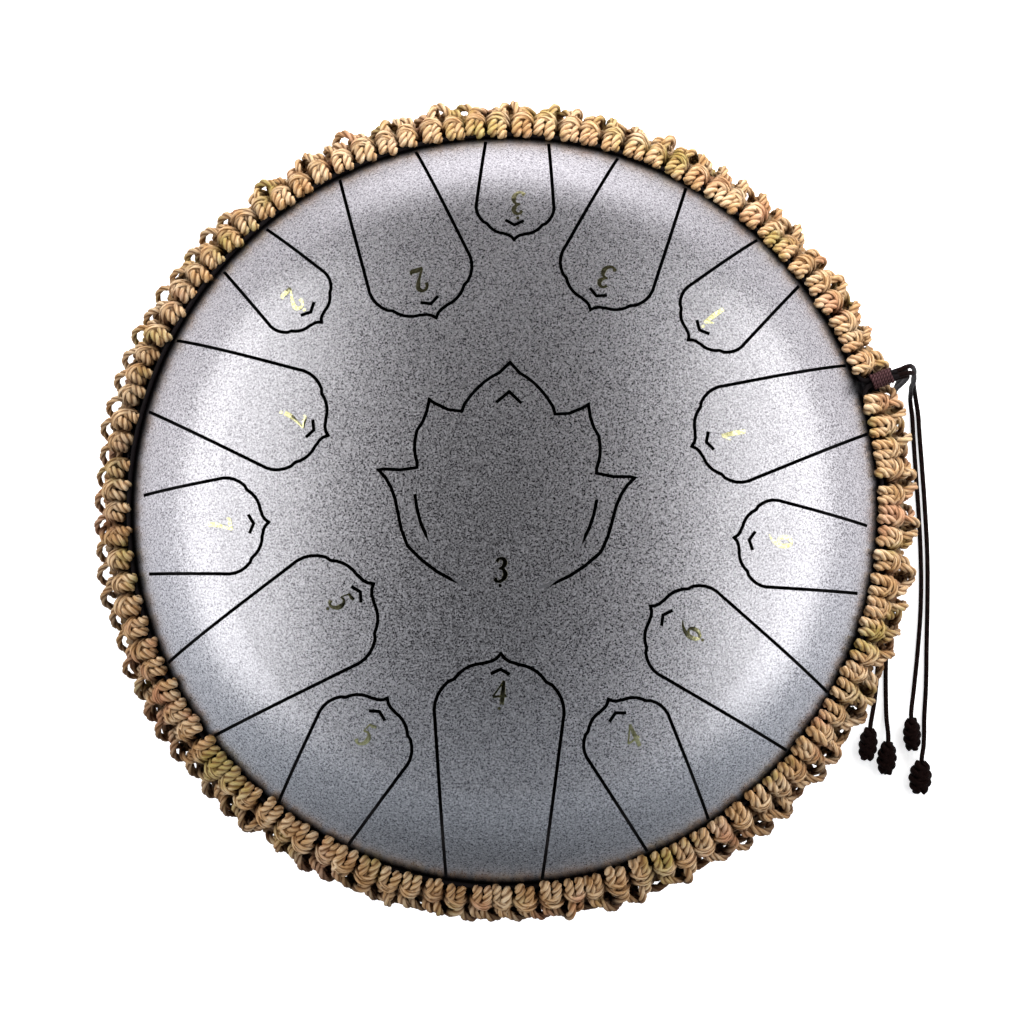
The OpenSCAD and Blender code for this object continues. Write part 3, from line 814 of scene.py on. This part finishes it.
def yarnMesh(name, strands, kind):
    yarn = yarns[kind]
    section = ropeSection(kind + "Section", yarn["radius"] * mm, *yarn["section"])
    mesh = strandMesh(name, strands, section, yarn["rings"], yarn["lump"] * mm)
    bpy.data.objects.remove(section)
    return mesh


def addJute(name, nodeName, mesh):
    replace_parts(addPiece(name, mesh, "drum", "jute"), nodeName)
    print(nodeName, "triangles:", 2 * len(mesh.polygons))


def juteBand():
    rng = random.Random(band["seed"])
    for name, offset, flip in (("jute_top_row", 0, False), ("jute_bottom_row", 0.5, True)):
        legs, bars = knotRow(rng, offset, flip)
        joined = bmesh.new()
        joined.from_mesh(yarnMesh(name + "Legs", legs, "leg"))
        joined.from_mesh(yarnMesh(name + "Bars", bars + [coreLine(flip)], "bar"))
        mesh = bpy.data.meshes.new(name + "Knots")
        joined.to_mesh(mesh)
        joined.free()
        addJute(name + "Knots", name, mesh)
    addJute("jute_outer_loopsStrands", "jute_outer_loops",
            yarnMesh("jute_outer_loopsStrands", outerLoops(rng), "loop"))


juteBand()


# The numerals: thin gold strokes, thick and thin as a broad pen draws them, on the dome near each tongue's tip.
numerals = {
    "height": 10.6, "weight": 1.55, "thickness": 0.12, "clearance": 0.05, "steps": 6,
    "dotRadius": 0.75, "dotGap": 1.6, "dotSides": 12,
    "pen": [(-0.5, 0.0), (-0.47, 0.9), (0.0, 1.0), (0.47, 0.9), (0.5, 0.0)], "penDepth": 0.1,
    "above": 0.4,  # where the rays that find the dome start
}
# each stroke is a list of (across, up, width), all as shares of the height
strokes = {
    "1": [[(-0.20, 0.70, 0.03), (-0.06, 0.82, 0.06), (0.07, 0.98, 0.07)],
          [(0.09, 1.00, 0.09), (0.04, 0.50, 0.14), (-0.02, 0.00, 0.11)]],
    "2": [[(-0.20, 0.68, 0.11), (-0.17, 0.86, 0.08), (0.00, 0.97, 0.08), (0.18, 0.84, 0.13),
           (0.14, 0.64, 0.12), (-0.03, 0.36, 0.07), (-0.24, 0.09, 0.05)],
          [(-0.27, 0.04, 0.09), (-0.05, 0.06, 0.14), (0.22, 0.06, 0.12), (0.28, 0.16, 0.04)]],
    "3": [[(-0.17, 0.82, 0.09), (-0.05, 0.96, 0.07), (0.14, 0.90, 0.11), (0.17, 0.74, 0.13),
           (0.03, 0.58, 0.07), (-0.08, 0.54, 0.05)],
          [(-0.08, 0.54, 0.05), (0.12, 0.50, 0.08), (0.20, 0.30, 0.14), (0.09, 0.08, 0.10),
           (-0.10, 0.01, 0.07), (-0.24, 0.12, 0.12)]],
    "4": [[(0.16, 1.00, 0.07), (0.13, 0.50, 0.13), (0.10, 0.00, 0.11)],
          [(0.16, 1.00, 0.05), (-0.05, 0.66, 0.05), (-0.28, 0.33, 0.05)],
          [(-0.29, 0.32, 0.07), (0.00, 0.34, 0.06), (0.28, 0.38, 0.09)]],
    "5": [[(-0.08, 0.94, 0.05), (0.08, 0.93, 0.10), (0.24, 0.98, 0.08)],
          [(-0.06, 0.94, 0.05), (-0.10, 0.76, 0.04), (-0.14, 0.58, 0.04)],
          [(-0.14, 0.57, 0.05), (0.06, 0.60, 0.07), (0.19, 0.36, 0.14), (0.09, 0.10, 0.10),
           (-0.10, 0.01, 0.07), (-0.24, 0.13, 0.12)]],
    "6": [[(0.20, 1.00, 0.03), (0.00, 0.84, 0.07), (-0.17, 0.52, 0.13), (-0.17, 0.24, 0.13),
           (-0.02, 0.02, 0.08), (0.16, 0.16, 0.11), (0.17, 0.40, 0.12), (0.05, 0.57, 0.07),
           (-0.11, 0.47, 0.05)]],
    "7": [[(-0.25, 0.78, 0.03), (-0.19, 0.88, 0.08), (0.00, 0.90, 0.10), (0.27, 0.98, 0.05)],
          [(0.26, 0.97, 0.05), (0.10, 0.60, 0.08), (0.00, 0.30, 0.13), (-0.04, 0.00, 0.13)]],
}
# bearing from the player, distance from the middle, digit, dot: 1 over it for the high octave, -1 under it for low
notes = [(0, 82.5, "4", -1), (30.4, 116, "4", 0), (57.3, 98, "6", -1), (84.4, 122, "6", 0),
         (109, 105, "1", 0), (134, 124.5, "1", 1), (158, 110, "3", 0), (179.4, 134.5, "3", 1),
         (-157.4, 106, "2", 0), (-132.4, 131, "2", 1), (-110.6, 100, "7", -1), (-84.4, 126, "7", 0),
         (-57.8, 83.5, "5", -1), (-29.6, 118, "5", 0)]
centreNote = ((-1.3, -29.0, 0), "3", -1)  # its place instead, and it stands upright


def domeTree():
    copy = bmesh.new()
    copy.from_mesh(nodes["top_shell"].data)
    tree = BVHTree.FromBMesh(copy)
    copy.free()
    return tree


def penStrokes(digit, section):  # a digit lying flat at the origin, in metres, its foot at y = 0
    data = newCurve("pen", numerals["steps"], section)
    data.twist_mode = "Z_UP"
    tall = numerals["height"]
    for stroke in strokes[digit]:
        points = smoothLine(data, [(x * tall * mm, y * tall * mm, 0) for x, y, width in stroke])
        for point, (x, y, width) in zip(points, stroke):
            point.radius = width * tall * numerals["weight"]
    mesh = curveMesh("pen", data)
    for face in mesh.polygons:
        face.use_smooth = False
    return mesh


def layOnDome(shape, centre, facing, tree):  # facing points to the top of the digit
    right = Vector((facing.y, -facing.x, 0))
    for vertex in shape.verts:
        flat = centre + right * vertex.co.x + facing * vertex.co.y
        hit = tree.ray_cast(Vector((flat.x, flat.y, numerals["above"])), Vector((0, 0, -1)))
        lift = numerals["clearance"] * mm + abs(vertex.co.z)
        vertex.co = (flat.x, flat.y, hit[0].z + lift)


def digitPlaces():
    places = []
    for bearing, reach, digit, dot in notes:
        angle = math.radians(bearing)
        inward = Vector((-math.sin(angle), math.cos(angle), 0))  # from the rim to the middle
        places.append((-inward * reach * mm, inward, digit, dot))
    centre, digit, dot = centreNote
    places.append((Vector(centre) * mm, Vector((0, 1, 0)), digit, dot))
    return places


def addNumerals():
    tree = domeTree()
    section = flatSection("penSection", [(x * mm, y * numerals["penDepth"] * mm) for x, y in numerals["pen"]])
    tall = numerals["height"] * mm
    whole = bmesh.new()
    places = digitPlaces()
    for centre, facing, digit, dot in places:
        part = bmesh.new()
        flat = penStrokes(digit, section)
        part.from_mesh(flat)
        bmesh.ops.translate(part, verts=part.verts, vec=(0, -tall / 2, 0))
        if dot:
            spot = bmesh.ops.create_circle(part, cap_ends=True, segments=numerals["dotSides"],
                                           radius=numerals["dotRadius"] * mm)
            away = dot * (tall / 2 + numerals["dotGap"] * mm)
            bmesh.ops.translate(part, verts=spot["verts"], vec=(0, away, numerals["thickness"] * mm))
        layOnDome(part, centre, facing, tree)
        made = bpy.data.meshes.new("digit")
        part.to_mesh(made)
        part.free()
        whole.from_mesh(made)
        bpy.data.meshes.remove(flat)
        bpy.data.meshes.remove(made)
    mesh = bpy.data.meshes.new("numerals")
    whole.to_mesh(mesh)
    whole.free()
    bpy.data.objects.remove(section)
    addPiece("numerals", mesh, "drum", "numeral")
    print("numerals:", len(places))


addNumerals()


# A plain pale floor and soft studio light.
studio = {
    "floorSize": 6.0, "floorColour": (0.92, 0.92, 0.92), "floorShade": 0.99, "floorMottle": 3.0,
    "floorRoughness": 0.9, "floorGlow": 0.6,
    "underDrum": (0.10, 0.17),  # the floor's glow begins between these distances from the middle: the unlit floor under the drum is a painted shadow
    # name, azimuth from +X, elevation, distance, length across, height, watts, whether the paint mirrors it
    "boxes": [
        ("leftBox", 175, 36, 1.5, 2.2, 1.05, 17.5, True),
        ("rightBox", 5, 36, 1.5, 2.2, 1.05, 17.5, True),
        ("backFill", 75, 34, 0.56, 0.9, 0.4, 5.5, False),
    ],
}
# The pale room that the paint mirrors: how bright its walls, and low down its sides and its back, are. The other
# numbers say between which heights or depths each fades, on a sphere of radius 1, and from what to what.
room = {
    "walls": 0.30, "sides": 1.2, "back": 2.0,
    "wallTop": (0.91, 0.69), "wallFoot": (-0.1, 0.6, 0.2, 1.0), "wallDepth": (-0.6, 0.6, 1.6, 0.3), "ends": 0.9,
    "low": (0.42, 0.0), "sideFront": (-1.0, -0.1), "sideBack": (0.6, 0.92, 1.0, 0.35), "backFront": (0.78, 0.98),
    "tints": (-0.7, 0.1), "frontTint": (0.86, 0.96, 1.06), "backTint": (1.01, 0.985, 1.02),
}


class RoomLight(Finish):
    def __init__(self, world):
        world.use_nodes = True
        self.open(world.node_tree, "Background")


def makeRoom(r):
    scene.world = bpy.data.worlds.new("studio")
    f = RoomLight(scene.world)
    way = f.place("Generated")
    x, y, z = f.split(way, 0), f.split(way, 1), f.split(way, 2)
    wall = f.level(z, *r["wallTop"]) * f.level(z, *r["wallFoot"])
    wall = wall * f.level(y, *r["wallDepth"]) * (x * x + r["ends"])
    sides = f.level(y, *r["sideFront"]) * f.level(y, *r["sideBack"]) * r["sides"]
    back = f.level(y, *r["backFront"]) * r["back"]
    f.set(Color=f.mix(f.level(y, *r["tints"]), r["frontTint"], r["backTint"]),
          Strength=wall * r["walls"] + f.level(z, *r["low"]) * (sides + back))


def makeFloor(s):
    bm = bmesh.new()
    bmesh.ops.create_grid(bm, x_segments=1, y_segments=1, size=s["floorSize"] / 2)
    data = bpy.data.meshes.new("floor")
    bm.to_mesh(data)
    bm.free()
    f = Finish("floorPaper")
    where = f.place()
    # painted shadow: the floor has no glow under the drum
    f.set(Base_Color=f.mix(f.noise(where, s["floorMottle"]), toned(s["floorColour"], s["floorShade"]),
                           s["floorColour"]),
          Roughness=s["floorRoughness"], Emission_Strength=s["floorGlow"],
          Emission_Color=f.mix(f.level(f.fromAxis(where), *s["underDrum"]), (0.0, 0.0, 0.0), (1.0, 1.0, 1.0)))
    data.materials.append(f.material)
    floor = addObject("floor", data)
    floor.visible_glossy = False


def makeBoxes(s):
    for name, azimuth, elevation, distance, across, tall, watts, isMirrored in s["boxes"]:
        light = bpy.data.lights.new(name, "AREA")
        light.shape = "RECTANGLE"
        light.size = across
        light.size_y = tall
        light.energy = watts
        a, e = math.radians(azimuth), math.radians(elevation)
        away = Vector((math.cos(a) * math.cos(e), math.sin(a) * math.cos(e), math.sin(e)))
        box = addObject(name, light)
        box.matrix_world = Matrix.Translation(away * distance + Vector((0, 0, camera["aimHeight"]))) @ (
            away.to_track_quat("Z", "Y").to_matrix().to_4x4())
        box.visible_camera = False
        box.visible_glossy = isMirrored
    print("studio:", len(s["boxes"]), "boxes")


makeFloor(studio)
makeRoom(room)
makeBoxes(studio)
scene.view_settings.view_transform = "Standard"
